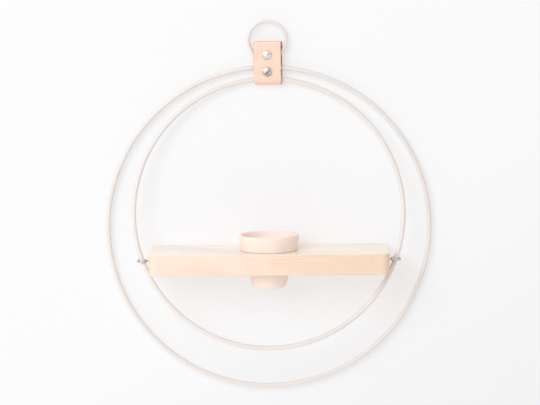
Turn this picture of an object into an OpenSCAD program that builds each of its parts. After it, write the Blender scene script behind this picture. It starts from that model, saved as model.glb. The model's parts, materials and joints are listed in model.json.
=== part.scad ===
// Hanging pot holder: two wire hoops hung from a folded leather strap,
// with a small shelf on screw eyes across the inner hoop and a pot set in the shelf.
// The origin is at the inside top of the hanging ring, the point that it hangs from.
// +X is right, +Z is up, and the front of the holder faces -Y.

/* [Hoops] */
// Outside diameter of the large hoop
outer_hoop_d = 304.8; // [290:0.1:330]
// Outside diameter of the small hoop
inner_hoop_d = 254; // [252:0.1:262]
// Thickness of the hoop wire
hoop_wire_d = 4.4; // [3.8:0.1:4.8]

/* [Hanging ring] */
// Outside diameter of the ring
ring_d = 38.1; // [34:0.1:44]
// Thickness of the ring wire
ring_wire_d = 3.2; // [2.6:0.1:3.6]

/* [Leather strap] */
// Width of the strap
strap_w = 25.4; // [20:0.1:28]
// Thickness of the leather
leather_t = 2.6; // [2:0.1:3]
// Length of strap above the middle of the upper rivet
strap_head = 12.6; // [11:0.1:16]
// Room for the hoop wire on each side in the strap
hoop_room = 0.5; // [0.4:0.05:0.7]
// Room for the ring wire on each side in the strap
ring_room = 0.3; // [0.2:0.05:0.5]

/* [Rivets] */
// Distance between the two rivets
rivet_pitch = 15.5; // [15:0.05:16.5]
// Diameter of the rivet caps
cap_d = 8.5; // [7:0.1:9.5]
// Height of the front caps
cap_h = 1.5; // [1.2:0.1:2]
// Height of the flatter back caps
back_cap_h = 1; // [0.8:0.1:1.4]
// Diameter of the rivet posts
post_d = 4; // [3:0.1:4.2]
// Drop from the lower rivet to the wire of the small hoop
fold_drop = 6.65; // [6.65:0.05:9]

/* [Shelf] */
// Length of the board
shelf_l = 220; // [200:1:221]
// Depth of the board
shelf_depth = 70; // [66:0.5:76]
// Thickness of the board
shelf_t = 19.05; // [16:0.05:20]
// Rounding of the four corners seen from above
corner_r = 8; // [3:0.5:12]
// Diameter of the hole for the pot
pot_hole_d = 48; // [47.8:0.1:50]
// Drop from the hanging point to the middle of the board
shelf_drop = 217.5; // [208:0.1:218]

/* [Screw eyes] */
// Thickness of the screw eye wire
eye_wire_d = 1.8; // [1.6:0.1:2]
// Outside diameter of the screw eye loop
eye_d = 10.6; // [10.4:0.1:11.2]
// Length of thread in the wood
thread_l = 14; // [8:0.5:20]
// Roll of the left eye, near side down
left_eye_roll = 5; // [0:1:8]
// Roll of the right eye, near side down
right_eye_roll = 12; // [0:1:12]

/* [Pot] */
// Diameter over the lip
rim_top_d = 56.4; // [54:0.1:60]
// Diameter at the foot of the collar
rim_foot_d = 52.6; // [51.5:0.1:54]
// Height of the collar
rim_h = 14.4; // [11:0.1:18]
// Diameter of the body just under the collar
body_top_d = 47; // [44:0.1:47]
// Diameter of the base
base_d = 31; // [26:0.1:35]
// Height of the body below the collar
body_h = 34.9; // [28:0.1:42]
// Thickness of the pot wall
pot_wall = 3; // [2.4:0.1:3.6]
// Diameter of the drain hole
drain_d = 8; // [5:0.5:10]

/* [Hidden] */

wire_white = [0.93, 0.91, 0.88];
leather_tan = [0.93, 0.78, 0.66];
nickel = [0.78, 0.77, 0.75];
maple = [0.93, 0.84, 0.74];
zinc = [0.70, 0.70, 0.68];
blush_clay = [0.93, 0.82, 0.76];

// Slack left where one piece hangs or rests on another
seat = 0.1;

ring_r = (ring_d - ring_wire_d) / 2;
ring_z = ring_wire_d / 2 - ring_r;
ring_inside_z = ring_z - ring_r + ring_wire_d / 2;
ring_outside_z = ring_inside_z - ring_wire_d;

outer_r = (outer_hoop_d - hoop_wire_d) / 2;
inner_r = (inner_hoop_d - hoop_wire_d) / 2;

// The ring carries the upper rivet, and the lower rivet carries the outer hoop
upper_rivet_z = ring_inside_z + seat + post_d / 2;
lower_rivet_z = upper_rivet_z - rivet_pitch;
outer_top_z = lower_rivet_z + post_d / 2 + seat + hoop_wire_d / 2;
inner_top_z = lower_rivet_z - fold_drop;
strap_top_z = upper_rivet_z + strap_head;

// The curved wire is lower at the edges of the strap, where it rests in the fold
hoop_gap = hoop_wire_d / 2 + hoop_room;
ring_gap = ring_wire_d / 2 + ring_room;
end_gap = 0.6;
edge_sag = inner_r - sqrt(inner_r * inner_r - strap_w * strap_w / 4);
fold_z = inner_top_z - edge_sag - hoop_wire_d / 2 - seat / 2 + hoop_gap;
ring_edge_z = ring_z - sqrt(pow(ring_r - ring_wire_d / 2, 2) - strap_w * strap_w / 4);
pinch = 0.3;
pinch_reach = 2.6;
pinch_z = (outer_top_z + inner_top_z) / 2 - edge_sag / 2;

// The back edge of the shelf is level with the back caps, so the holder lies flat behind
cap_skirt = 0.5;
socket_l = 1.2;
wall_y = hoop_gap + leather_t + back_cap_h;
shelf_y = wall_y - shelf_depth / 2;
lean = atan(-shelf_y / (shelf_drop + inner_top_z));
eye_reach = -shelf_y / sin(lean) - inner_r;
eye_x = sqrt(inner_r * inner_r - eye_reach * eye_reach);
eye_r = (eye_d - eye_wire_d) / 2;
eye_bend_r = 2;
eye_gap_turn = 32;

// The foot of the collar rests on the board
rim_foot_z = shelf_t / 2 - shelf_drop + seat / 2;
base_round = 3.4;
lip_w = 3.5;
lip_round = 1.6;
collar_round = 0.8;
floor_t = 3.2;
floor_round = 3;
drain_round = 0.6;

// Smooth step from 0 at a to 1 at b
function ease(a, b, x) =
    let (t = min(1, max(0, (x - a) / (b - a))))
    t * t * (3 - 2 * t);

function arc(c, r, from, to, steps) =
    [for (i = [0:steps]) let (a = from + (to - from) * i / steps) c + r * [cos(a), sin(a)]];

function unit(v) = v / norm(v);

// The corner at b, on the way from a to c, as an arc of radius r
function round_corner(a, b, c, r, steps) =
    let (to_a = unit(a - b),
         to_c = unit(c - b),
         half = acos(to_a * to_c) / 2,
         centre = b + unit(to_a + to_c) * r / sin(half),
         start = b + to_a * r / tan(half) - centre,
         from = atan2(start[1], start[0]),
         turn = (2 * half - 180) * sign(cross(to_a, to_c)))
    arc(centre, r, from, from + turn, steps);

// A closed outline with a radius for each of its corners
function round_corners(points, radii, steps) =
    let (n = len(points))
    [for (i = [0:n - 1])
        each round_corner(points[(i + n - 1) % n], points[i], points[(i + 1) % n], radii[i], steps)];

// Half the gap between the two layers of leather at height z
function layer_gap(z) =
    let (above_hoop = ease(outer_top_z + 2.4, ring_outside_z + 0.9, z),
         above_ring = ease(ring_edge_z + 0.2, strap_top_z - 1, z),
         near_rivet = 1 - ease(0, pinch_reach, abs(z - pinch_z)))
    hoop_gap - (hoop_gap - ring_gap) * above_hoop - (ring_gap - end_gap) * above_ring
    - pinch * near_rivet;

// Where a rivet cap at height z bears on the outside of the leather, which isn't quite flat
function rivet_face(z) = leather_t + max([for (i = [-8:8]) layer_gap(z + i * cap_d / 16)]);

// A wire bent to a full circle that stands in the XZ plane
module wire_circle(r, wire_d) {
    rotate([90, 0, 0])
        rotate_extrude($fn = r < 30 ? 44 : 84)
            translate([r, 0])
                circle(d = wire_d, $fn = 14);
}

// A wire bent to part of a circle in the XY plane
module wire_arc(r, wire_d, from, turn) {
    rotate([0, 0, from])
        rotate_extrude(angle = turn, $fn = 36)
            translate([r, 0])
                circle(d = wire_d, $fn = 14);
}

module hanging_ring() {
    color(wire_white)
        translate([0, 0, ring_z])
            wire_circle(ring_r, ring_wire_d);
}

module outer_hoop() {
    color(wire_white)
        translate([0, 0, outer_top_z - outer_r])
            wire_circle(outer_r, hoop_wire_d);
}

// The small hoop hangs in the fold and leans out to the front
module inner_hoop() {
    color(wire_white)
        translate([0, 0, inner_top_z])
            rotate([-lean, 0, 0])
                translate([0, 0, -inner_r])
                    wire_circle(inner_r, hoop_wire_d);
}

// Side view of the folded strip, as [y, z], with both cut ends at the top
module strap_side() {
    steps = 40;
    heights = [for (i = [0:steps]) strap_top_z + (fold_z - strap_top_z) * i / steps];
    inside_front = [for (z = heights) [-layer_gap(z), z]];
    outside_front = [for (z = heights) [-layer_gap(z) - leather_t, z]];
    inside_fold = arc([0, fold_z], layer_gap(fold_z), 180, 360, 16);
    outside_fold = arc([0, fold_z], layer_gap(fold_z) + leather_t, 180, 360, 28);
    inside_back = [for (i = [0:steps]) [-inside_front[steps - i][0], heights[steps - i]]];
    outside_back = [for (i = [0:steps]) [-outside_front[steps - i][0], heights[steps - i]]];
    inside = concat(inside_front, [for (i = [1:15]) inside_fold[i]], inside_back);
    outside = concat(outside_front, [for (i = [1:27]) outside_fold[i]], outside_back);
    last = len(inside) - 1;
    polygon(concat(outside, [for (i = [0:last]) inside[last - i]]));
}

module rivet_hole(z) {
    translate([0, 0, z])
        rotate([90, 0, 0])
            cylinder(d = post_d, h = 40, center = true, $fn = 24);
}

module leather_strap() {
    color(leather_tan)
        difference() {
            translate([-strap_w / 2, 0, 0])
                rotate([90, 0, 90])
                    linear_extrude(height = strap_w)
                        strap_side();
            rivet_hole(upper_rivet_z);
            rivet_hole(lower_rivet_z);
        }
}

// A domed cap, flat side on the plane z = 0
module dome(d, h) {
    rise = h - cap_skirt;
    dome_r = (d * d / 4 + rise * rise) / (2 * rise);
    rotate_extrude($fn = 28) {
        intersection() {
            translate([0, h - dome_r])
                circle(r = dome_r, $fn = 96);
            translate([0, cap_skirt])
                square([d, h]);
        }
        square([d / 2, cap_skirt]);
    }
}

// Front half of a rivet: a domed cap with a socket that takes the post
module rivet_cap(z) {
    face = rivet_face(z);
    translate([0, -face, z])
        rotate([90, 0, 0])
            dome(cap_d, cap_h);
    translate([0, -face, z])
        rotate([-90, 0, 0])
            cylinder(d = post_d, h = socket_l, $fn = 24);
}

// Back half of a rivet: a flatter cap behind, with the post through both layers
module rivet_post(z) {
    face = rivet_face(z);
    translate([0, face, z])
        rotate([-90, 0, 0])
            dome(cap_d, back_cap_h);
    translate([0, face, z])
        rotate([90, 0, 0])
            cylinder(d = post_d, h = 2 * face - socket_l, $fn = 24);
}

module upper_rivet_cap() {
    color(nickel) rivet_cap(upper_rivet_z);
}

module upper_rivet_post() {
    color(nickel) rivet_post(upper_rivet_z);
}

module lower_rivet_cap() {
    color(nickel) rivet_cap(lower_rivet_z);
}

module lower_rivet_post() {
    color(nickel) rivet_post(lower_rivet_z);
}

// The board seen from above, with its centre at the origin
module board_outline() {
    square([shelf_l - 2 * corner_r, shelf_depth], center = true);
    square([shelf_l, shelf_depth - 2 * corner_r], center = true);
    for (x = [-1, 1], y = [-1, 1])
        translate([x * (shelf_l / 2 - corner_r), y * (shelf_depth / 2 - corner_r)])
            circle(r = corner_r, $fn = 48);
}

module shelf_board() {
    color(maple)
        translate([0, shelf_y, -shelf_drop])
            difference() {
                translate([0, 0, -shelf_t / 2])
                    linear_extrude(height = shelf_t)
                        difference() {
                            board_outline();
                            circle(d = pot_hole_d, $fn = 64);
                        }
                for (side = [-1, 1])
                    translate([side * (shelf_l / 2 - thread_l), 0, 0])
                        rotate([0, side * 90, 0])
                            cylinder(d = eye_wire_d, h = thread_l + 1, $fn = 16);
            }
}

// A screw eye whose loop lies in the XY plane round the origin, with its shank along +X.
// The wire leaves the shank in a short bend and runs round almost to the neck again,
// and a bead barely wider than the wire joins one bend to the next.
module screw_eye() {
    neck_x = sqrt(eye_r * eye_r + 2 * eye_r * eye_bend_r);
    neck_turn = acos(eye_bend_r / (eye_r + eye_bend_r));
    loop_from = asin(eye_bend_r / (eye_r + eye_bend_r));
    cut = 2;
    bead_r = eye_wire_d / 2 + 0.06;
    wire_arc(eye_r, eye_wire_d, loop_from + cut, 360 - loop_from - cut - eye_gap_turn);
    rotate([0, 0, loop_from])
        translate([eye_r, 0, 0])
            sphere(r = bead_r, $fn = 16);
    translate([neck_x, eye_bend_r, 0])
        wire_arc(eye_bend_r, eye_wire_d, 270 - neck_turn + cut, neck_turn - 2 * cut);
    translate([neck_x, 0, 0])
        rotate([0, 0, -90])
            sphere(r = bead_r, $fn = 16);
    translate([neck_x + 0.1, 0, 0])
        rotate([0, 90, 0])
            cylinder(d = eye_wire_d, h = eye_x - shelf_l / 2 + thread_l - neck_x - 0.1, $fn = 14);
}

module left_screw_eye() {
    color(zinc)
        translate([-eye_x, shelf_y, -shelf_drop])
            rotate([left_eye_roll, 0, 0])
                screw_eye();
}

module right_screw_eye() {
    color(zinc)
        translate([eye_x, shelf_y, -shelf_drop])
            rotate([right_eye_roll, 0, 0])
                mirror([1, 0, 0])
                    screw_eye();
}

// Half section of the pot, with the foot of the collar at height 0
module pot_section() {
    depth = rim_h + body_h - floor_t;
    wall_run = pot_wall * norm([depth, (rim_top_d - base_d) / 2]) / depth;
    corners = [
        [drain_d / 2, -body_h],
        [base_d / 2, -body_h],
        [body_top_d / 2, 0],
        [rim_foot_d / 2, 0],
        [rim_top_d / 2, rim_h],
        [rim_top_d / 2 - lip_w, rim_h],
        [base_d / 2 + 0.8 - wall_run, floor_t - body_h],
        [drain_d / 2, floor_t - body_h]
    ];
    radii = [drain_round, base_round, 0.4, collar_round, lip_round, lip_round, floor_round, drain_round];
    polygon(round_corners(corners, radii, 4));
}

module pot() {
    color(blush_clay)
        translate([0, shelf_y, rim_foot_z])
            rotate_extrude($fn = 44)
                pot_section();
}

hanging_ring();
leather_strap();
upper_rivet_cap();
upper_rivet_post();
lower_rivet_cap();
lower_rivet_post();
outer_hoop();
inner_hoop();
shelf_board();
left_screw_eye();
right_screw_eye();
pot();
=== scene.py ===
import json
import math

import bmesh
import bpy
from mathutils import Matrix, Vector


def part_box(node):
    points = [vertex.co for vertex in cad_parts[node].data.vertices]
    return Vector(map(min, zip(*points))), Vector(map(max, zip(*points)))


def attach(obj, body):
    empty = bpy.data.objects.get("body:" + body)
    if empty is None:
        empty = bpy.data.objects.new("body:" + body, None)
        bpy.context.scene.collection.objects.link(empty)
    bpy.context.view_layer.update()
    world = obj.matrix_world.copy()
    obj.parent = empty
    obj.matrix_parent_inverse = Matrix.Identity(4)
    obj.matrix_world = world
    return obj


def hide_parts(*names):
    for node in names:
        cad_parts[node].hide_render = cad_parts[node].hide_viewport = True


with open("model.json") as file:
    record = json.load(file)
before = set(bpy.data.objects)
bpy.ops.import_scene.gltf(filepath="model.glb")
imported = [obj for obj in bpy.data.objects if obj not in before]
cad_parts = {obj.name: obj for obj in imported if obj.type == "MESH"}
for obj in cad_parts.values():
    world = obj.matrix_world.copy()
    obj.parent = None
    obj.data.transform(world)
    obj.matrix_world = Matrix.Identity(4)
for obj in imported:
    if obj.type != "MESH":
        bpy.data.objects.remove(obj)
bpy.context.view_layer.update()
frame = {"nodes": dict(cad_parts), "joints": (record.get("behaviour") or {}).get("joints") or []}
mm = 0.001
hair = 0.001 * mm  # what lies closer than this counts as touching
print("frame loaded:", len(frame["nodes"]), "nodes")


# Shader maths as Python expressions: a Wire is one output socket, and + - * / ** add Math nodes
class Wire:
    def __init__(self, nodes, socket):
        self.nodes = nodes
        self.socket = socket

    def calc(self, operation, *others):
        return self.nodes.maths(operation, self, *others)

    def __add__(self, other):
        return self.calc("ADD", other)

    def __radd__(self, other):
        return self.calc("ADD", other)

    def __sub__(self, other):
        return self.calc("SUBTRACT", other)

    def __rsub__(self, other):
        return self.nodes.maths("SUBTRACT", other, self)

    def __mul__(self, other):
        return self.calc("MULTIPLY", other)

    def __rmul__(self, other):
        return self.calc("MULTIPLY", other)

    def __truediv__(self, other):
        return self.calc("DIVIDE", other)

    def __rtruediv__(self, other):
        return self.nodes.maths("DIVIDE", other, self)

    def __pow__(self, other):
        return self.calc("POWER", other)

    def __rpow__(self, other):
        return self.nodes.maths("POWER", other, self)

    def ramp(self, low, high):
        # 0 at low and 1 at high, eased, whichever of the two is larger
        return self.nodes.node(
            "ShaderNodeMapRange",
            {"interpolation_type": "SMOOTHSTEP"},
            {"Value": self, "From Min": low, "From Max": high},
        )


# A node tree and the few ways in which nodes are added to it
class Nodes:
    def __init__(self, tree):
        self.tree = tree

    def node(self, kind, settings=None, values=None, output=0):
        made = self.tree.nodes.new(kind)
        for name, value in (settings or {}).items():
            setattr(made, name, value)
        for name, value in (values or {}).items():
            if isinstance(value, Wire):
                self.tree.links.new(value.socket, made.inputs[name])
            else:
                made.inputs[name].default_value = value
        return Wire(self, made.outputs[output])

    def maths(self, operation, *values):
        return self.node("ShaderNodeMath", {"operation": operation}, dict(enumerate(values)))

    def point(self, output="Object"):
        return self.node("ShaderNodeTexCoord", output=output)

    def mapped(self, point, scale=(1, 1, 1), turn=(0, 0, 0), move=(0, 0, 0)):
        values = {"Vector": point, "Scale": scale, "Rotation": turn, "Location": move}
        return self.node("ShaderNodeMapping", None, values)

    def axes(self, point):
        split = self.node("ShaderNodeSeparateXYZ", None, {"Vector": point})
        return [Wire(self, output) for output in split.socket.node.outputs]

    def length(self, vector):
        return self.node("ShaderNodeVectorMath", {"operation": "LENGTH"}, {0: vector}, output="Value")

    def noise(self, point, size, detail=2, roughness=0.5, distortion=0):
        values = {
            "Vector": point,
            "Scale": 1 / size,
            "Detail": detail,
            "Roughness": roughness,
            "Distortion": distortion,
        }
        return self.node("ShaderNodeTexNoise", None, values)

    def cells(self, point, size, feature="F1"):
        values = {"Vector": point, "Scale": 1 / size}
        return self.node("ShaderNodeTexVoronoi", {"feature": feature}, values)

    def mix(self, share, first, second, blend="MIX"):
        # Sockets 6 and 7 are the two colours, and output 2 is the mixed one
        settings = {"data_type": "RGBA", "blend_type": blend}
        values = {0: share}
        for place, color in ((6, first), (7, second)):
            values[place] = color if isinstance(color, Wire) else (*color, 1)
        return self.node("ShaderNodeMix", settings, values, output=2)

    def bump(self, height, depth, before=None):
        values = {"Height": height, "Distance": depth, "Strength": 1.0}
        if before:
            values["Normal"] = before
        return self.node("ShaderNodeBump", None, values)


# A material: what is the same all over is set at once, and what varies is fed in at the end
class Finish(Nodes):
    def __init__(self, name, **fixed):
        self.material = bpy.data.materials.new(name)
        self.material.use_nodes = True
        super().__init__(self.material.node_tree)
        self.shader = self.tree.nodes["Principled BSDF"]
        for socketName, value in fixed.items():
            self.shader.inputs[socketName.replace("_", " ")].default_value = value

    def feed(self, **wires):
        for socketName, wire in wires.items():
            self.tree.links.new(wire.socket, self.shader.inputs[socketName.replace("_", " ")])
        return self.material


def tone(red, green, blue):
    # An sRGB colour, 0 to 255, as the linear one that the nodes take
    return tuple(
        v / 12.92 if v <= 0.04045 else ((v + 0.055) / 1.055) ** 2.4
        for v in (red / 255, green / 255, blue / 255)
    )


# The hoops and the ring share one satin powder coat, a little dusty in patches and specks.
# In every look, a share is how much of a colour comes in, and stops are where that begins and ends
wireCoat = {
    "colour": tone(231, 225, 222),
    "dustColour": tone(206, 197, 188),
    "patchSize": 40 * mm,
    "patchStops": (0.4, 0.8),
    "patchShare": 0.12,
    "speckSize": 1.6 * mm,
    "speckStops": (0.68, 0.78),
    "speckShare": 0.08,
    "peelSize": 1.1 * mm,
    "peelDepth": 0.01 * mm,
    "roughness": 0.28,
    "patchRough": 0.12,
    "coat": 0.15,
    "coatRoughness": 0.25,
}


def makeWireCoat():
    look = wireCoat
    finish = Finish("white_powder_coat", Coat_Weight=look["coat"], Coat_Roughness=look["coatRoughness"])
    place = finish.point()
    patches = finish.noise(place, look["patchSize"], detail=3)
    peel = finish.noise(place, look["peelSize"], detail=1)
    specks = finish.noise(place, look["speckSize"], detail=3, roughness=0.6).ramp(*look["speckStops"])
    dust = patches.ramp(*look["patchStops"]) * look["patchShare"] + specks * look["speckShare"]
    color = finish.mix(dust, look["colour"], look["dustColour"])
    rough = patches * look["patchRough"] + look["roughness"]
    return finish.feed(Base_Color=color, Roughness=rough, Normal=finish.bump(peel, look["peelDepth"]))


# Vegetable-tanned leather: mottled, pored, darker and smoother where the edges are burnished, and with
# painted shade where it folds round at the bottom
strapLook = {
    "colour": tone(249, 217, 200),
    "deepColour": tone(236, 194, 170),
    "edgeColour": tone(186, 132, 104),
    "mottleSize": 9 * mm,
    "mottleStops": (0.35, 0.75),
    "mottleShare": 0.3,
    "mottleDepth": 0.12 * mm,
    "fineSize": 1.1 * mm,
    "fineShare": 0.1,
    "poreSize": 0.55 * mm,
    "poreStops": (0.34, 0.12),
    "poreShare": 0.16,
    "poreDepth": 0.045 * mm,
    "creaseSize": 1.7 * mm,
    "creaseStretch": (0.75, 1, 1.25),
    "creaseStops": (0.09, 0.0),
    "creaseShare": 0.14,
    "creasePatch": 4 * mm,
    "creasePatchStops": (0.4, 0.62),
    "edgeBand": (0.5 * mm, 0.1 * mm),
    "headBand": (0.4 * mm, 0.08 * mm),
    "foldShadeBand": 3.2 * mm,
    "foldShadeShare": 0.55,
    "wornShare": 0.62,
    "wornSpread": 0.2,
    "relief": {"pores": 0.6, "creases": 0.8},
    "roughness": 0.6,
    "rougher": {"worn": -0.18, "fine": 0.1, "mottle": -0.08},
    "sheen": 0.1,
    "specular": 0.35,
}


def makeLeather(low, high):
    look = strapLook
    finish = Finish("tanned_leather", Sheen_Weight=look["sheen"], Specular_IOR_Level=look["specular"])
    place = finish.point()
    x, _, z = finish.axes(place)
    mottle = finish.noise(place, look["mottleSize"], detail=5, roughness=0.6)
    fine = finish.noise(place, look["fineSize"], detail=3)
    pores = finish.cells(place, look["poreSize"]).ramp(*look["poreStops"])
    creased = finish.noise(place, look["creasePatch"]).ramp(*look["creasePatchStops"])
    creasePlace = finish.mapped(place, scale=look["creaseStretch"])
    creases = finish.cells(creasePlace, look["creaseSize"], feature="DISTANCE_TO_EDGE")
    creases = creases.ramp(*look["creaseStops"]) * creased
    edgeFrom, edgeTo = (high.x - band for band in look["edgeBand"])
    headFrom, headTo = (high.z - band for band in look["headBand"])
    worn = x.calc("ABSOLUTE").ramp(edgeFrom, edgeTo).calc("MAXIMUM", z.ramp(headFrom, headTo))
    # Painted shade: the leather darkens towards the bottom of the fold, where it turns away from the
    # light
    foldShade = z.ramp(low.z + look["foldShadeBand"], low.z)
    deep = mottle.ramp(*look["mottleStops"]) * look["mottleShare"] + fine * look["fineShare"]
    color = finish.mix(deep, look["colour"], look["deepColour"])
    deep = pores * look["poreShare"] + creases * look["creaseShare"] + foldShade * look["foldShadeShare"]
    color = finish.mix(deep, color, look["deepColour"])
    burnish = worn * (look["wornShare"] + fine * look["wornSpread"])
    color = finish.mix(burnish, color, look["edgeColour"])
    height = 1 - pores * look["relief"]["pores"] - creases * look["relief"]["creases"]
    rougher = look["rougher"]
    rough = look["roughness"] + worn * rougher["worn"]
    rough = rough + fine * rougher["fine"] + mottle * rougher["mottle"]
    normal = finish.bump(height, look["poreDepth"])
    normal = finish.bump(mottle, look["mottleDepth"], before=normal)
    return finish.feed(Base_Color=color, Roughness=rough, Normal=normal)


# Nickel on the rivets, knocked a little uneven when they were set. They darken towards the rim, on the
# lower rivet and in spots: partly tarnish, partly painted dark reflection. A spot is such a darker place,
# given by how far across and above the rivet's middle it is, and by its size
nickelLook = {
    "colour": (0.83, 0.775, 0.72),
    "duskColour": (0.25, 0.175, 0.11),
    "allOver": 0.12,
    "rimStops": (3.2 * mm, 4.3 * mm),
    "rimShare": 0.6,
    "lowShare": 0.32,
    "upperSpots": [(1.4 * mm, 1.2 * mm, 1.7 * mm)],
    "lowerSpots": [(-0.2 * mm, -1.5 * mm, 2.9 * mm), (1.5 * mm, 1.2 * mm, 2 * mm)],
    "spotCore": 0.3,
    "spotShare": 0.55,
    "hazeSize": 1.6 * mm,
    "hazeStops": (0.4, 0.66),
    "hazeShare": 0.7,
    "hazeLeast": 0.5,
    "scratchSize": 0.16 * mm,
    "scratchStretch": (0.12, 1, 1),
    "scratchTurn": (0.3, 0.9, 0.5),
    "scratchStops": (0.62, 0.78),
    "scratchDepth": 0.004 * mm,
    "dentSize": 2.4 * mm,
    "dentDepth": 0.22 * mm,
    "roughness": 0.2,
    "rougher": {"haze": 0.16, "scratches": 0.12},
}


def makeNickel(heights):
    look = nickelLook
    finish = Finish("polished_nickel", Metallic=1.0)
    place = finish.point()
    x, _, z = finish.axes(place)
    upper, lower = heights
    toAxis = (z - upper).calc("ABSOLUTE").calc("MINIMUM", (z - lower).calc("ABSOLUTE"))
    rim = (x**2 + toAxis**2) ** 0.5
    # Darker towards the rim, on the lower rivet and in the listed spots: partly tarnish, partly a painted
    # dark reflection of the room
    tarnishAndDarkReflection = rim.ramp(*look["rimStops"]) * look["rimShare"] + z.ramp(upper, lower) * look["lowShare"]
    for rivetZ, spots in ((upper, look["upperSpots"]), (lower, look["lowerSpots"])):
        for across, above, size in spots:
            toSpot = ((x - across) ** 2 + (z - (rivetZ + above)) ** 2) ** 0.5
            tarnishAndDarkReflection = tarnishAndDarkReflection + toSpot.ramp(size, look["spotCore"] * size) * look["spotShare"]
    haze = finish.noise(place, look["hazeSize"], detail=4, roughness=0.65)
    scratchPlace = finish.mapped(place, scale=look["scratchStretch"], turn=look["scratchTurn"])
    scratches = finish.noise(scratchPlace, look["scratchSize"]).ramp(*look["scratchStops"])
    dents = finish.noise(place, look["dentSize"], detail=1)
    hazed = haze.ramp(*look["hazeStops"]) * look["hazeShare"] + look["hazeLeast"]
    tarnishAndDarkReflection = (tarnishAndDarkReflection + look["allOver"]) * hazed
    color = finish.mix(tarnishAndDarkReflection.calc("MINIMUM", 1), look["colour"], look["duskColour"])
    rough = look["roughness"] + haze * look["rougher"]["haze"] + scratches * look["rougher"]["scratches"]
    normal = finish.bump(dents, look["dentDepth"])
    normal = finish.bump(1 - scratches, look["scratchDepth"], before=normal)
    return finish.feed(Base_Color=color, Roughness=rough, Normal=normal)


# Bright zinc on the screw eyes
zincLook = {
    "colour": (0.58, 0.58, 0.57),
    "duskColour": (0.27, 0.27, 0.265),
    "hazeSize": 0.9 * mm,
    "hazeStops": (0.4, 0.75),
    "hazeShare": 0.38,
    "hazeDepth": 0.005 * mm,
    "roughness": 0.24,
    "hazeRough": 0.16,
}


def makeZinc():
    look = zincLook
    finish = Finish("bright_zinc", Metallic=1.0)
    place = finish.point()
    haze = finish.noise(place, look["hazeSize"], detail=4, roughness=0.7)
    dusk = haze.ramp(*look["hazeStops"]) * look["hazeShare"]
    color = finish.mix(dusk, look["colour"], look["duskColour"])
    rough = haze * look["hazeRough"] + look["roughness"]
    return finish.feed(Base_Color=color, Roughness=rough, Normal=finish.bump(haze, look["hazeDepth"]))


# Maple: growth rings round a heart far below and behind the board, so that the long faces get
# fine streaks and the ends get arcs, with short flecks along the grain and one pin knot
mapleLook = {
    "colour": tone(249, 224, 210),
    "lateColour": tone(234, 204, 169),
    "fleckColour": tone(205, 160, 122),
    "topLightColour": tone(252, 243, 234),
    "knotColour": tone(150, 100, 66),
    "heart": (0, 62 * mm, -118 * mm),
    "ringWidth": 2.3 * mm,
    "lateStops": (0.3, 0.9),
    "lateShare": 0.46,
    "wanderSize": 24 * mm,
    "wanderStretch": (0.16, 1, 1),
    "wander": 4.2,
    "strengthSize": 17 * mm,
    "strengthStretch": (0.3, 1, 1),
    "strengthStops": (0.35, 0.7),
    "grainStretch": (0.03, 1, 1),
    "streakSize": 0.9 * mm,
    "streakStops": (0.4, 0.72),
    "streakShare": 0.32,
    "fibreSize": 0.3 * mm,
    "fleckSize": 0.5 * mm,
    "fleckStretch": (0.16, 1, 1),
    "fleckStops": (0.68, 0.77),
    "fleckShare": 0.3,
    "figureSize": 16 * mm,
    "figureStretch": (1, 1, 0.4),
    "figureStops": (0.35, 0.7),
    "figureShare": 0.12,
    "warmStops": (-70 * mm, 90 * mm),
    "warmShare": 0.42,
    "knot": (93.5 * mm, -35 * mm, 4.6 * mm),
    "knotStretch": (0.8, 0.2, 1),
    "knotStops": (0.7 * mm, 0.2 * mm),
    "knotShare": 0.45,
    "topLightStops": (0.6, 0.95),
    "topLightShare": 0.7,
    "endStops": (0.55, 0.95),
    "endShare": 0.3,
    "grainDepth": 0.03 * mm,
    "relief": {"fibres": 0.6, "streaks": 0.4, "flecks": -0.5},
    "roughness": 0.4,
    "rougher": {"streaks": 0.12, "ends": 0.12, "late": -0.05},
    "specular": 0.5,
    "coat": 0.5,
    "coatRoughness": 0.24,
}


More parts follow.
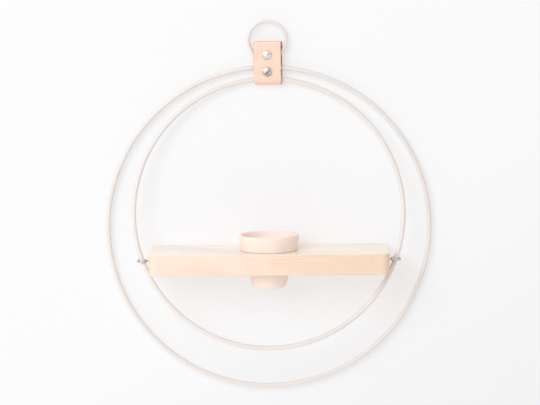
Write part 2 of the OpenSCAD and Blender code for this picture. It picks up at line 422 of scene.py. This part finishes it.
def makeMaple(centre):
    look = mapleLook
    finish = Finish(
        "oiled_maple",
        Specular_IOR_Level=look["specular"],
        Coat_Weight=look["coat"],
        Coat_Roughness=look["coatRoughness"],
    )
    place = finish.mapped(finish.point(), move=tuple(-v for v in centre))
    wander = finish.noise(finish.mapped(place, scale=look["wanderStretch"]), look["wanderSize"], detail=3)
    heart = finish.mapped(place, scale=(0, 1, 1), move=look["heart"])
    rings = (finish.length(heart) / look["ringWidth"] + wander * look["wander"]).calc("FRACT")
    lateFrom, lateTo = look["lateStops"]
    late = rings.ramp(lateFrom, lateTo) * (1 - rings.ramp(lateTo, 1.0))
    strength = finish.noise(finish.mapped(place, scale=look["strengthStretch"]), look["strengthSize"])
    strength = strength.ramp(*look["strengthStops"])
    along = finish.mapped(place, scale=look["grainStretch"])
    streaks = finish.noise(along, look["streakSize"], detail=4, roughness=0.6)
    fibres = finish.noise(along, look["fibreSize"])
    flecks = finish.noise(finish.mapped(place, scale=look["fleckStretch"]), look["fleckSize"])
    flecks = flecks.ramp(*look["fleckStops"])
    figure = finish.noise(finish.mapped(place, scale=look["figureStretch"]), look["figureSize"], detail=3)
    figure = figure.ramp(*look["figureStops"])
    warmEnd = finish.axes(place)[0].ramp(*look["warmStops"])
    share = late * strength * look["lateShare"] + streaks.ramp(*look["streakStops"]) * look["streakShare"]
    share = share + figure * look["figureShare"] + warmEnd * look["warmShare"]
    color = finish.mix(share, look["colour"], look["lateColour"])
    color = finish.mix(flecks * look["fleckShare"], color, look["fleckColour"])
    stretch = look["knotStretch"]
    toKnot = tuple(-v * k for v, k in zip(look["knot"], stretch))
    knotPlace = finish.mapped(place, scale=stretch, move=toKnot)
    knot = finish.length(knotPlace).ramp(*look["knotStops"])
    color = finish.mix(knot * look["knotShare"], color, look["knotColour"])
    # Paler on top, a painted highlight where it lies in the light, and darker at the ends, where the
    # grain is cut across
    across, _, upwards = finish.axes(finish.point("Normal"))
    topLight = upwards.ramp(*look["topLightStops"]) * look["topLightShare"]
    color = finish.mix(topLight, color, look["topLightColour"])
    ends = across.calc("ABSOLUTE").ramp(*look["endStops"])
    color = finish.mix(ends * look["endShare"], color, look["lateColour"], blend="MULTIPLY")
    rougher = look["rougher"]
    rough = look["roughness"] + streaks * rougher["streaks"]
    rough = rough + ends * rougher["ends"] + late * rougher["late"]
    relief = look["relief"]
    height = fibres * relief["fibres"] + streaks * relief["streaks"] + flecks * relief["flecks"]
    return finish.feed(Base_Color=color, Roughness=rough, Normal=finish.bump(height, look["grainDepth"]))


# Matt blush clay with fine grog, and faint turning lines
clayLook = {
    "colour": tone(248, 229, 217),
    "paleColour": tone(252, 236, 227),
    "grogColour": tone(212, 176, 156),
    "cloudSize": 16 * mm,
    "cloudStops": (0.3, 0.72),
    "gritSize": 0.5 * mm,
    "gritShare": 0.06,
    "gritDepth": 0.05 * mm,
    "grogSize": 1.3 * mm,
    "grogStops": (0.16, 0.07),
    "grogShare": 0.45,
    "grogPatch": 2.3 * mm,
    "grogPatchStops": (0.5, 0.6),
    "lineSize": 0.9 * mm,
    "lineWander": 1.5,
    "linePatch": 9 * mm,
    "linePatchStops": (0.4, 0.7),
    "lineDepth": 0.02 * mm,
    "roughness": 0.72,
    "gritRough": 0.14,
    "specular": 0.3,
}


def makeClay(axisPoint):
    look = clayLook
    finish = Finish("blush_clay", Specular_IOR_Level=look["specular"])
    place = finish.mapped(finish.point(), move=tuple(-v for v in axisPoint))
    cloud = finish.noise(place, look["cloudSize"], detail=4, roughness=0.55)
    grit = finish.noise(place, look["gritSize"], detail=3, roughness=0.6)
    grog = finish.cells(place, look["grogSize"]).ramp(*look["grogStops"])
    grog = grog * finish.noise(place, look["grogPatch"]).ramp(*look["grogPatchStops"])
    height = finish.axes(place)[2]
    turned = (height / look["lineSize"] + cloud * look["lineWander"]).calc("SINE")
    turned = turned * finish.noise(place, look["linePatch"]).ramp(*look["linePatchStops"])
    color = finish.mix(cloud.ramp(*look["cloudStops"]), look["colour"], look["paleColour"])
    speckled = grog * look["grogShare"] + grit * look["gritShare"]
    color = finish.mix(speckled, color, look["grogColour"])
    normal = finish.bump(grit, look["gritDepth"])
    normal = finish.bump(turned, look["lineDepth"], before=normal)
    rough = look["roughness"] + grit * look["gritRough"]
    return finish.feed(Base_Color=color, Roughness=rough, Normal=normal)


# Selecting and shaping, shared by all pieces
def deselectAll():
    if bpy.context.mode != "OBJECT":
        bpy.ops.object.mode_set(mode="OBJECT")
    bpy.ops.object.select_all(action="DESELECT")


def applyPlace():
    bpy.ops.object.transform_apply(location=True, rotation=True, scale=True)
    bpy.ops.object.mode_set(mode="EDIT")


def begin(name):
    # The primitive just added gets its name and opens in edit mode
    piece = bpy.context.active_object
    piece.name = name
    piece.data.name = name
    applyPlace()
    return piece


def selectOnly(piece):
    deselectAll()
    bpy.context.view_layer.objects.active = piece
    piece.select_set(True)


def extrude(shift):
    bpy.ops.mesh.extrude_region_move(TRANSFORM_OT_translate={"value": shift})


def pull(shift, reach):
    # Moves what is selected, and what is joined to it within reach moves along ever less
    bpy.ops.transform.translate(
        value=shift,
        use_proportional_edit=True,
        use_proportional_connected=True,
        proportional_edit_falloff="SMOOTH",
        proportional_size=reach,
    )


def selectWhere(piece, kind, test):
    # Selects the verts, edges or faces for which test is true, and nothing else
    bpy.ops.mesh.select_all(action="DESELECT")
    bpy.ops.mesh.select_mode(type={"verts": "VERT", "edges": "EDGE", "faces": "FACE"}[kind])
    mesh = bmesh.from_edit_mesh(piece.data)
    for element in getattr(mesh, kind):
        if test(element):
            element.select_set(True)
    mesh.select_flush_mode()
    bmesh.update_edit_mesh(piece.data)


def mergeDoubles():
    # Doubles merged first, then the normals turned outwards
    bpy.ops.mesh.select_all(action="SELECT")
    bpy.ops.mesh.remove_doubles(threshold=hair)
    bpy.ops.mesh.normals_make_consistent(inside=False)


def closeUp():
    mergeDoubles()
    bpy.ops.object.mode_set(mode="OBJECT")


def applyModifier(piece, kind, **settings):
    selectOnly(piece)
    modifier = piece.modifiers.new(kind.lower(), kind)
    for name, value in settings.items():
        setattr(modifier, name, value)
    bpy.ops.object.modifier_apply(modifier=modifier.name)


def settle(piece, material, body, nodes, smoothAngle=40):
    # The finished piece gets its smooth shading, its material and its place in the frame
    selectOnly(piece)
    bpy.ops.object.shade_smooth_by_angle(angle=math.radians(smoothAngle))
    piece.data.materials.clear()
    piece.data.materials.append(material)
    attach(piece, body)
    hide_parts(*nodes)
    print("  made", piece.name, len(piece.data.polygons), "faces")


# Measures read from the frame
jointAt = {j["name"]: Vector(j["pos_m"]) for j in frame["joints"] if "pos_m" in j}
strapLow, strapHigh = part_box("leather_strap")
boardLow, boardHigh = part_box("shelf_board")
boardCentre = (boardLow + boardHigh) / 2
hoopLow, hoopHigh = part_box("outer_hoop")
hoopWire = hoopHigh.y - hoopLow.y

hoopMesh = {
    "aroundLoop": 320,
    "aroundWire": 20,
    "weldTurn": 0.9,
    "weldSwell": 1.03,
}


def makeLoop(name, body, node, radius, wire, top, lean, weldAt):
    # A closed wire loop hanging from top, leaning out at the bottom. Its weld is dressed flush,
    # at the top where weldAt is 1 and at the bottom where it is -1
    deselectAll()
    shape = hoopMesh
    down = Vector((0, -math.sin(lean), -math.cos(lean)))
    centre = top + down * radius
    bpy.ops.mesh.primitive_torus_add(
        major_segments=shape["aroundLoop"],
        minor_segments=shape["aroundWire"],
        major_radius=radius,
        minor_radius=wire / 2,
        location=centre,
        rotation=(math.pi / 2 - lean, 0, 0),
    )
    piece = begin(name)
    weldPoint = centre - down * radius * weldAt
    weldReach = radius * math.radians(shape["weldTurn"])
    selectWhere(piece, "verts", lambda v: abs(v.co.x) < weldReach and (v.co - weldPoint).length < wire)
    swell = shape["weldSwell"]
    bpy.ops.transform.resize(value=(1, swell, swell), center_override=weldPoint)
    closeUp()
    settle(piece, wireFinish, body, [node])


# The strap, in side view: two layers that close over the ring and open round the hoops
strapShape = {
    "leather": 2.6 * mm,
    "endGap": 0.6 * mm,
    "ringGap": 1.9 * mm,
    "hoopGap": 2.7 * mm,
    "ringBand": (-38.4 * mm, -34.0 * mm),
    "closing": (-25.1 * mm, -18.0 * mm),
    "pinch": (0.3 * mm, -46.6 * mm, 2.6 * mm),
    "steps": 46,
    "foldSteps": 22,
    "cuts": (0, 1.5, 3, 4.2, 5.4, 7, 9),
    "sharpTurn": 1.0,
    "edgeRound": 0.42 * mm,
    "edgeSteps": 4,
    "cornerRound": 1.1 * mm,
    "cornerSteps": 6,
    "cornerMargin": 0.1 * mm,
    "askew": 1.3 * mm,
    "dimple": 0.16 * mm,
    "dimpleReach": 3.2 * mm,
    "dimpleShare": 0.9,
    "faceSlack": 0.5 * mm,
}


def easeStep(low, high, x):
    t = min(1, max(0, (x - low) / (high - low)))
    return t * t * (3 - 2 * t)


def halfGap(z):
    shape = strapShape
    depth, middle, reach = shape["pinch"]
    gap = shape["hoopGap"]
    gap -= (shape["hoopGap"] - shape["ringGap"]) * easeStep(*shape["ringBand"], z)
    gap -= (shape["ringGap"] - shape["endGap"]) * easeStep(*shape["closing"], z)
    return gap - depth * (1 - easeStep(0, reach, abs(z - middle)))


def makeStrap():
    shape = strapShape
    deselectAll()
    top = strapHigh.z
    nearTop = top - shape["cornerRound"] - shape["cornerMargin"]
    foldRadius = shape["hoopGap"] + shape["leather"]
    foldCentre = Vector((0, 0, strapLow.z + foldRadius))
    width = strapHigh.x - strapLow.x
    startY = -halfGap(top) - shape["leather"] / 2
    bpy.ops.mesh.primitive_plane_add(size=1, location=(0, startY, top))
    bpy.context.active_object.scale = (width, shape["leather"], 1)
    piece = begin("strap")
    steps = shape["steps"]
    heights = [top] + [nearTop + (foldCentre.z - nearTop) * i / steps for i in range(steps + 1)]
    bpy.ops.mesh.select_all(action="SELECT")
    for high, low in zip(heights, heights[1:]):
        extrude((0, halfGap(high) - halfGap(low), low - high))
    bpy.ops.mesh.spin(steps=shape["foldSteps"], angle=-math.pi, center=foldCentre, axis=(1, 0, 0))
    for low, high in zip(heights[::-1], heights[-2::-1]):
        extrude((0, halfGap(high) - halfGap(low), high - low))
    mergeDoubles()
    # Cut along its length at places across the width, so that the leather can give under the caps
    for x in sorted({side * cut for cut in shape["cuts"] for side in (-1, 1)}):
        bpy.ops.mesh.select_all(action="SELECT")
        bpy.ops.mesh.bisect(plane_co=(x * mm, 0, 0), plane_no=(1, 0, 0))
    selectWhere(piece, "edges", lambda e: isTopCorner(e, top, width))
    bpy.ops.mesh.bevel(offset=shape["cornerRound"], segments=shape["cornerSteps"], affect="EDGES")
    selectWhere(piece, "edges", lambda e: e.is_manifold and e.calc_face_angle() > shape["sharpTurn"])
    bpy.ops.mesh.bevel(offset=shape["edgeRound"], segments=shape["edgeSteps"], affect="EDGES")
    # Folded a little askew: the back layer shows past the front one on the right
    selectWhere(piece, "verts", lambda v: v.co.y > 0 and v.co.z > foldCentre.z)
    pull((shape["askew"], 0, 0), math.pi * foldRadius)
    for rivetZ in rivetHeights:
        for side in (-1, 1):
            face = side * (halfGap(rivetZ) + shape["leather"])
            selectWhere(piece, "verts", lambda v: isUnderCap(v.co, face, rivetZ))
            pull((0, -side * shape["dimple"], 0), shape["dimpleReach"])
    closeUp()
    settle(piece, leatherFinish, "strap", ["leather_strap"], smoothAngle=50)


def isTopCorner(edge, top, width):
    # An edge through the leather's thickness, at a side of the strap and at its top
    one, other = (vert.co for vert in edge.verts)
    through = abs(one.y - other.y) > strapShape["leather"] / 2
    return through and min(one.z, other.z) > top - hair and abs(one.x) > width / 2 - hair


def isUnderCap(point, face, rivetZ):
    near = math.hypot(point.x, point.z - rivetZ) < capShape["radius"] * strapShape["dimpleShare"]
    return near and abs(point.y - face) < strapShape["faceSlack"]


# Rivet caps: a low dome over a short skirt, with the stem that goes into the leather
capShape = {
    "radius": 4.25 * mm,
    "heights": {-1: 1.5 * mm, 1: 1.0 * mm},
    "skirt": 0.5 * mm,
    "foot": 0.985,
    "footHeight": 0.12 * mm,
    "stem": 2 * mm,
    "socket": 1.2 * mm,
    "domeSteps": 9,
    "tip": 0.02,
    "around": 48,
}
capBoxes = [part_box(node) for node in ("upper_rivet_cap", "lower_rivet_cap")]
rivetHeights = [(low.z + high.z) / 2 for low, high in capBoxes]


def makeCap(name, node, side):
    # side is -1 for a cap on the front and 1 for one on the back, whose stem reaches the other
    shape = capShape
    low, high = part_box(node)
    middle = Vector(((low.x + high.x) / 2, 0, (low.z + high.z) / 2))
    outerY = low.y if side < 0 else high.y
    faceY = outerY - side * shape["heights"][side]
    rise = shape["heights"][side] - shape["skirt"]
    domeRadius = (shape["radius"] ** 2 + rise**2) / (2 * rise)
    deselectAll()
    bpy.ops.mesh.primitive_circle_add(
        vertices=shape["around"],
        radius=shape["radius"] * shape["foot"],
        fill_type="NGON",
        location=(middle.x, faceY, middle.z),
        rotation=(math.pi / 2, 0, 0),
    )
    piece = begin(name)
    bpy.ops.mesh.select_all(action="SELECT")
    # The skirt, rolled a little at its foot
    grow(side * shape["footHeight"], 1 / shape["foot"], middle, faceY)
    grow(side * (shape["skirt"] - shape["footHeight"]), 1, middle, faceY)
    # The dome, ring by ring, and closed to a point
    spread = math.asin(shape["radius"] / domeRadius)
    for i in range(shape["domeSteps"]):
        before = spread * (1 - i / shape["domeSteps"])
        after = spread * (1 - (i + 1) / shape["domeSteps"])
        lift = domeRadius * (math.cos(after) - math.cos(before))
        ratio = max(math.sin(after) / math.sin(before), shape["tip"])
        grow(side * lift, ratio, middle, faceY)
    bpy.ops.mesh.merge(type="COLLAPSE")
    # The stem, from the flat side inwards
    selectWhere(piece, "faces", lambda f: abs(f.calc_center_median().y - faceY) < hair)
    bpy.ops.mesh.inset(thickness=shape["radius"] * shape["foot"] - shape["stem"])
    stemLength = shape["socket"] if side < 0 else 2 * faceY - shape["socket"]
    extrude((0, -side * stemLength, 0))
    closeUp()
    settle(piece, nickelFinish, "strap", [node], smoothAngle=35)


def grow(shift, ratio, middle, faceY):
    # Extrudes what is selected along Y and draws it in or out round the rivet's own axis
    extrude((0, shift, 0))
    bpy.ops.transform.resize(value=(ratio, 1, ratio), center_override=(middle.x, faceY, middle.z))


# The board, with eased edges round the outside and round the hole
boardShape = {
    "cornerRadius": 8 * mm,
    "cornerSteps": 12,
    "holeRadius": 24 * mm,
    "holeSteps": 96,
    "drillLength": 40 * mm,
    "eyeHoleSlack": 0.02 * mm,
    "eyeHoleSpare": 0.2 * mm,
    "eyeHoleSteps": 24,
    "ease": 0.55 * mm,
    "easeSteps": 3,
    "easeAngle": 50,
}


def makeBoard():
    shape = boardShape
    deselectAll()
    bpy.ops.mesh.primitive_cube_add(size=1, location=boardCentre)
    bpy.context.active_object.scale = boardHigh - boardLow
    piece = begin("board")
    selectWhere(piece, "edges", lambda e: abs(e.verts[0].co.z - e.verts[1].co.z) > hair)
    bpy.ops.mesh.bevel(offset=shape["cornerRadius"], segments=shape["cornerSteps"], affect="EDGES")
    closeUp()
    bore(piece, boardCentre, shape["holeRadius"], shape["drillLength"], (0, 0, 0), shape["holeSteps"])
    radius = eyeShape["wire"] / 2 + shape["eyeHoleSlack"]
    depth = eyeShape["threadLength"] + shape["eyeHoleSpare"]
    for side in (-1, 1):
        mouth = Vector((side * boardHigh.x, boardCentre.y, boardCentre.z))
        bore(piece, mouth, radius, 2 * depth, (0, math.pi / 2, 0), shape["eyeHoleSteps"])
    applyModifier(
        piece,
        "BEVEL",
        width=shape["ease"],
        segments=shape["easeSteps"],
        limit_method="ANGLE",
        angle_limit=math.radians(shape["easeAngle"]),
    )
    settle(piece, mapleFinish, "shelf", ["shelf_board"], smoothAngle=50)


def bore(piece, centre, radius, length, turn, around):
    deselectAll()
    bpy.ops.mesh.primitive_cylinder_add(
        vertices=around, radius=radius, depth=length, location=centre, rotation=turn
    )
    drill = bpy.context.active_object
    applyModifier(piece, "BOOLEAN", operation="DIFFERENCE", solver="EXACT", object=drill)
    bpy.data.objects.remove(drill)


# Screw eyes: wire turned into a loop, bent back on to its shank, with a thread in the wood
eyeShape = {
    "wire": 1.8 * mm,
    "loopOutside": 10.6 * mm,
    "bendRadius": 2 * mm,
    "gapTurn": 32,
    "loopSteps": 64,
    "bendSteps": 16,
    "threadLength": 14 * mm,
    "threadPitch": 0.875 * mm,
    "threadRoot": 0.8,
    "around": 18,
    "leftRoll": 5,
    "rightRoll": 12,
}


def makeEye(name, node, side, roll):
    # Shaped lying flat round the world origin with its shank along +X, then set in place
    shape = eyeShape
    low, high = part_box(node)
    loopRadius = (shape["loopOutside"] - shape["wire"]) / 2
    bendRadius = shape["bendRadius"]
    joinTurn = math.asin(bendRadius / (loopRadius + bendRadius))
    neckX = math.sqrt(loopRadius**2 + 2 * loopRadius * bendRadius)
    endTurn = -math.radians(shape["gapTurn"])
    deselectAll()
    bpy.ops.mesh.primitive_circle_add(
        vertices=shape["around"],
        radius=shape["wire"] / 2,
        fill_type="NGON",
        location=(loopRadius * math.cos(endTurn), loopRadius * math.sin(endTurn), 0),
        rotation=(math.pi / 2, 0, endTurn),
    )
    piece = begin(name)
    bpy.ops.mesh.select_all(action="SELECT")
    up = (0, 0, 1)
    wholeTurn = 2 * math.pi + endTurn - joinTurn
    bpy.ops.mesh.spin(steps=shape["loopSteps"], angle=wholeTurn, center=(0, 0, 0), axis=up)
    backTurn = joinTurn - math.pi / 2
    bpy.ops.mesh.spin(steps=shape["bendSteps"], angle=backTurn, center=(neckX, bendRadius, 0), axis=up)
    loopCentreX = (high.x if side > 0 else -low.x) - shape["loopOutside"] / 2
    bare = loopCentreX - boardHigh.x - neckX
    extrude((bare, 0, 0))
    turns = round(shape["threadLength"] / shape["threadPitch"])
    for i in range(turns * 2):
        extrude((shape["threadPitch"] / 2, 0, 0))
        ratio = shape["threadRoot"] if i % 2 == 0 else 1 / shape["threadRoot"]
        bpy.ops.transform.resize(value=(1, ratio, ratio), center_override=(0, 0, 0))
    closeUp()
    # Set in place. The right one is mirrored here, so its normals are turned outwards again
    selectOnly(piece)
    piece.scale = (-side, 1, 1)
    piece.rotation_euler = (math.radians(roll), 0, 0)
    piece.location = (side * loopCentreX, boardCentre.y, boardCentre.z)
    applyPlace()
    closeUp()
    settle(piece, zincFinish, "shelf", [node], smoothAngle=50)


# The pot in half section, heights from the foot of the collar: (radius, height, rounding)
potShape = {
    "section": [
        (4.0, -34.9, 0.6),
        (15.5, -34.9, 3.4),
        (23.5, 0.0, 0.4),
        (26.3, 0.0, 0.8),
        (28.2, 14.4, 1.6),
        (24.7, 14.4, 1.6),
        (13.2, -31.7, 3.0),
        (4.0, -31.7, 0.6),
    ],
    "around": 144,
    "cornerSteps": 6,
    "wobble": 0.22 * mm,
    "wobbleSize": 22 * mm,
}


def roundedSection(section, steps):
    # The same outline with an arc at each corner
    points = []
    count = len(section)
    for i, (radius, height, rounding) in enumerate(section):
        corner = Vector((radius, height))
        before = (Vector(section[i - 1][:2]) - corner).normalized()
        after = (Vector(section[(i + 1) % count][:2]) - corner).normalized()
        half = before.angle(after) / 2
        centre = corner + (before + after).normalized() * rounding / math.sin(half)
        start = corner + before * rounding / math.tan(half) - centre
        end = corner + after * rounding / math.tan(half) - centre
        turn = start.angle_signed(end)
        for step in range(steps + 1):
            spoke = start.copy()
            spoke.rotate(Matrix.Rotation(-turn * step / steps, 2))
            points.append(centre + spoke)
    return points


def makePot():
    shape = potShape
    low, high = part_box("pot")
    axis = Vector(((low.x + high.x) / 2, (low.y + high.y) / 2, 0))
    foot = high.z - max(height for _, height, _ in shape["section"]) * mm
    outline = [p * mm for p in roundedSection(shape["section"], shape["cornerSteps"])]
    deselectAll()
    bpy.ops.mesh.primitive_circle_add(
        vertices=shape["around"],
        radius=outline[0].x,
        fill_type="NOTHING",
        location=(axis.x, axis.y, foot + outline[0].y),
    )
    piece = begin("pot_body")
    bpy.ops.mesh.select_all(action="SELECT")
    for here, there in zip(outline, outline[1:] + outline[:1]):
        ratio = there.x / here.x
        level = (axis.x, axis.y, foot + there.y)
        extrude((0, 0, there.y - here.y))
        bpy.ops.transform.resize(value=(ratio, ratio, 1), center_override=level)
    closeUp()
    clouds = bpy.data.textures.new("pot_wobble", "CLOUDS")
    clouds.noise_scale = shape["wobbleSize"]
    applyModifier(piece, "DISPLACE", texture=clouds, strength=shape["wobble"], mid_level=0.5)
    settle(piece, clayFinish, "pot", ["pot"], smoothAngle=50)


print("finishes")
wireFinish = makeWireCoat()
leatherFinish = makeLeather(strapLow, strapHigh)
nickelFinish = makeNickel(rivetHeights)
mapleFinish = makeMaple(boardCentre)
zincFinish = makeZinc()
clayFinish = makeClay(Vector((0, boardCentre.y, boardHigh.z)))

print("hoops and ring")
ringLow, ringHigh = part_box("hanging_ring")
ringWire = ringHigh.y - ringLow.y
ringRadius = (ringHigh.x - ringLow.x - ringWire) / 2
outerRadius = (hoopHigh.x - hoopLow.x - hoopWire) / 2
innerLow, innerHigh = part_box("inner_hoop")
innerRadius = (innerHigh.x - innerLow.x - hoopWire) / 2
ringTop = Vector((0, 0, ringWire / 2))
outerTop = jointAt["large_hoop_swing"]
innerTop = jointAt["small_hoop_swing"]
toShelf = boardCentre - innerTop
lean = math.atan2(-toShelf.y, -toShelf.z)
makeLoop("ring", "ring", "hanging_ring", ringRadius, ringWire, ringTop, 0, -1)
makeLoop("large_hoop_wire", "large_hoop", "outer_hoop", outerRadius, hoopWire, outerTop, 0, 1)
makeLoop("small_hoop_wire", "small_hoop", "inner_hoop", innerRadius, hoopWire, innerTop, lean, 1)

print("strap and rivets")
makeStrap()
for level in ("upper", "lower"):
    makeCap(level + "_front_cap", level + "_rivet_cap", -1)
    makeCap(level + "_back_cap", level + "_rivet_post", 1)

print("shelf")
makeBoard()
makeEye("left_eye", "left_screw_eye", -1, eyeShape["leftRoll"])
makeEye("right_eye", "right_screw_eye", 1, eyeShape["rightRoll"])

print("pot")
makePot()

print("camera, wall, floor and light")
# The camera is at eye height in front of the wall, looking a little down, a touch out of level
viewpoint = {
    "place": (1.4 * mm, -1993.7 * mm, 73.7 * mm),
    "down": 6.9,
    "tilt": -0.52,
    "lens": 143.2,
    "sensor": 36,
    "near": 0.01,
}
cameraData = bpy.data.cameras.new("camera")
cameraData.lens = viewpoint["lens"]
cameraData.sensor_width = viewpoint["sensor"]
cameraData.clip_start = viewpoint["near"]
camera = bpy.data.objects.new("camera", cameraData)
bpy.context.scene.collection.objects.link(camera)
looking = Matrix.Rotation(math.radians(90 - viewpoint["down"]), 4, "X")
looking = looking @ Matrix.Rotation(math.radians(viewpoint["tilt"]), 4, "Z")
camera.matrix_world = Matrix.Translation(viewpoint["place"]) @ looking
bpy.context.scene.camera = camera

stageLook = {
    "wall": tone(251, 251, 252),
    "floor": tone(247, 247, 246),
    "glow": {"wall": 0.525, "floor": 0.84},
    "shading": 0.45,
    "fade": {"near": 0.2, "far": 0.5, "aslant": 0.5, "share": 0.085},
    "paintSize": 3 * mm,
    "paintShade": 0.94,
    "paintDepth": 0.02 * mm,
    "size": 5,
    "floorDrop": 1.7,
    "wallGap": 0.15 * mm,
}


def makeStage(name, color, location, rotation, seeThroughBack):
    # Mostly glow and only a little shading, for the photo's faint and soft shadows
    deselectAll()
    bpy.ops.mesh.primitive_plane_add(size=stageLook["size"], location=location, rotation=rotation)
    piece = bpy.context.active_object
    piece.name = name
    finish = Finish(name, Roughness=1, Specular_IOR_Level=0, Emission_Strength=stageLook["glow"][name])
    place = finish.point()
    paint = finish.noise(place, stageLook["paintSize"], detail=3)
    shaded = tuple(v * stageLook["shading"] for v in color)
    # It glows a little less towards the lower right, away from the window
    fade = stageLook["fade"]
    x, y, _ = finish.axes(place)
    faded = (x * fade["aslant"] - y).ramp(fade["near"], fade["far"]) * fade["share"]
    finish.feed(
        Base_Color=finish.mix(paint, shaded, tuple(v * stageLook["paintShade"] for v in shaded)),
        Emission_Color=finish.mix(faded, color, (0, 0, 0)),
        Normal=finish.bump(paint, stageLook["paintDepth"]),
    )
    if seeThroughBack:
        # The wall shows only from the room, so the holder can be looked at from behind too
        back = finish.node("ShaderNodeNewGeometry", output="Backfacing")
        clear = finish.node("ShaderNodeBsdfTransparent")
        painted = Wire(finish, finish.shader.outputs["BSDF"])
        shown = finish.node("ShaderNodeMixShader", None, {0: back, 1: painted, 2: clear})
        finish.tree.links.new(shown.socket, finish.tree.nodes["Material Output"].inputs["Surface"])
    piece.data.materials.append(finish.material)


wallY = boardHigh.y + stageLook["wallGap"]
makeStage("wall", stageLook["wall"], (0, wallY, 0), (math.pi / 2, 0, 0), True)
makeStage("floor", stageLook["floor"], (0, 0, -stageLook["floorDrop"]), (0, 0, 0), False)

# One large soft lamp, as a window to the left and a little above
windowLamp = {
    "place": Vector((-0.85, -1.75, 0.65)),
    "aim": Vector((0, 0, boardCentre.z * 0.8)),
    "size": 1.2,
    "power": 18.4,
    "colour": (0.77, 0.878, 1),
}
lampData = bpy.data.lights.new("window", "AREA")
lampData.shape = "DISK"
lampData.size = windowLamp["size"]
lampData.energy = windowLamp["power"]
lampData.color = windowLamp["colour"]
lamp = bpy.data.objects.new("window", lampData)
lamp.location = windowLamp["place"]
lamp.rotation_euler = (windowLamp["aim"] - windowLamp["place"]).to_track_quat("-Z", "Y").to_euler()
bpy.context.scene.collection.objects.link(lamp)

# The room is brighter up and to the left, where the window is. The camera sees it white, and so
# do reflections
roomLook = {
    "colour": (1, 0.945, 0.872),
    "dim": 0.53,
    "bright": 0.936,
    "toWindow": (-0.75, -0.35, 0.3),
    "turn": (-0.55, 0.85),
}
world = bpy.data.worlds.new("room")
world.use_nodes = True
bpy.context.scene.world = world
room = Nodes(world.node_tree)
background = room.tree.nodes["Background"]
toWindow = {0: room.point("Generated"), 1: roomLook["toWindow"]}
facing = room.node("ShaderNodeVectorMath", {"operation": "DOT_PRODUCT"}, toWindow, output="Value")
strength = facing.ramp(*roomLook["turn"]) * (roomLook["bright"] - roomLook["dim"]) + roomLook["dim"]
seen = room.node("ShaderNodeLightPath", output="Is Camera Ray")
for ray in ("Is Glossy Ray", "Is Transmission Ray"):
    seen = seen.calc("MAXIMUM", room.node("ShaderNodeLightPath", output=ray))
strength = strength * (1 - seen) + seen
color = room.mix(seen, roomLook["colour"], (1, 1, 1))
room.tree.links.new(strength.socket, background.inputs["Strength"])
room.tree.links.new(color.socket, background.inputs["Color"])

bpy.context.scene.view_settings.view_transform = "Standard"
